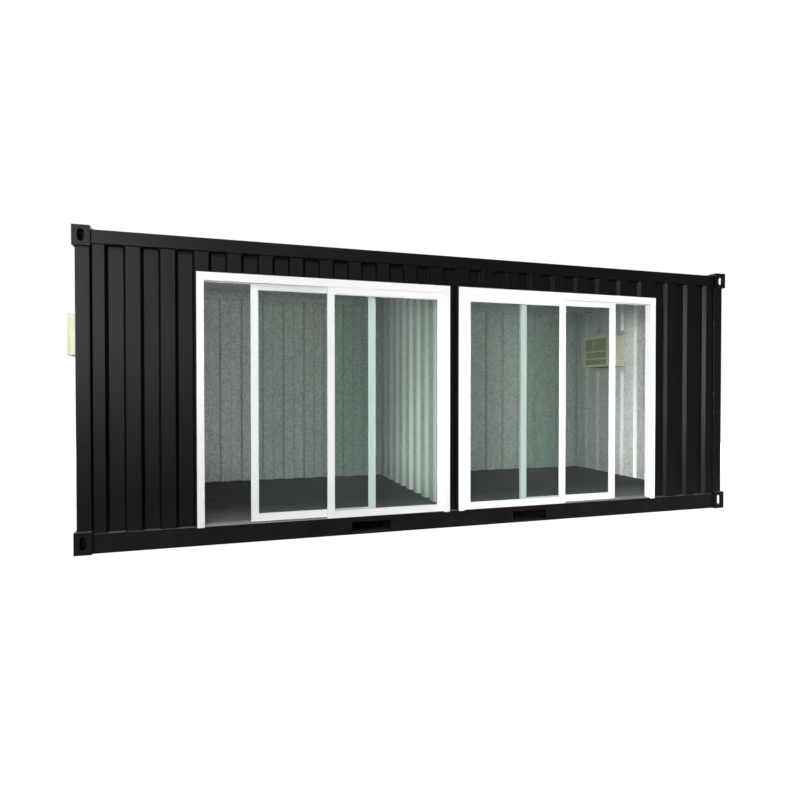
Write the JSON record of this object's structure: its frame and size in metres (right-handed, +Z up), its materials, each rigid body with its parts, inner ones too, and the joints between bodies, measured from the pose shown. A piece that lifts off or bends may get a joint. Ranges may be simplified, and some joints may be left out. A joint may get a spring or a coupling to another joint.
{
  "type": "shipping container room unit",
  "caption": "Steel shipping container fitted out as two rooms, with part-open sliding glass doors in its long wall and an air conditioner through each end wall.",
  "frame": {"origin": "at ground level under the middle of the container, midway between the castings", "axes": "+X along the length to the right as seen from the doors, +Y from the doors to the back wall, +Z up"},
  "size_m": [6.724, 2.438, 2.438],
  "materials": {
    "black_steel": "satin",
    "grey_steel": "satin",
    "floor_board": "satin",
    "white_frame": "satin",
    "sill_metal": "satin",
    "green_glass": "gloss",
    "cream_casing": "satin",
    "cream_panel": "matt"
  },
  "bodies": {
    "container": {"bottom_rail_front": "black_steel", "bottom_rail_back": "black_steel", "bottom_end_rails": "black_steel", "cross_members": "black_steel", "fork_pockets": "black_steel", "floor": "floor_board", "castings_bottom": "black_steel", "castings_top": "black_steel", "corner_posts": "black_steel", "top_rail_front": "black_steel", "top_rail_back": "black_steel", "top_end_rails": "black_steel", "roof": "black_steel", "front_wall_left": "black_steel", "front_wall_right": "black_steel", "front_header": "black_steel", "front_centre_strip": "black_steel", "centre_post": "black_steel", "back_wall": "black_steel", "end_wall_left": "black_steel", "end_wall_right": "black_steel", "partition": "grey_steel", "left_door_frame": "white_frame", "left_door_sill": "sill_metal", "left_fixed_leaf": "white_frame", "left_fixed_glass": "green_glass", "right_door_frame": "white_frame", "right_door_sill": "sill_metal", "right_fixed_leaf": "white_frame", "right_fixed_glass": "green_glass", "left_ac_casing": "cream_casing", "left_ac_room_grille": "cream_panel", "left_ac_outdoor_louvre": "cream_panel", "right_ac_casing": "cream_casing", "right_ac_room_grille": "cream_panel", "right_ac_outdoor_louvre": "cream_panel"},
    "left_leaf": {"left_sliding_leaf": "white_frame", "left_sliding_glass": "green_glass"},
    "right_leaf": {"right_sliding_leaf": "white_frame", "right_sliding_glass": "green_glass"}
  },
  "joints": [
    {"name": "left_door_slide", "type": "slide", "parent": "container", "child": "left_leaf", "axis": [1, 0, 0], "range_m": [-0.351, 0.613]},
    {"name": "right_door_slide", "type": "slide", "parent": "container", "child": "right_leaf", "axis": [-1, 0, 0], "range_m": [-0.384, 0.58]}
  ]
}
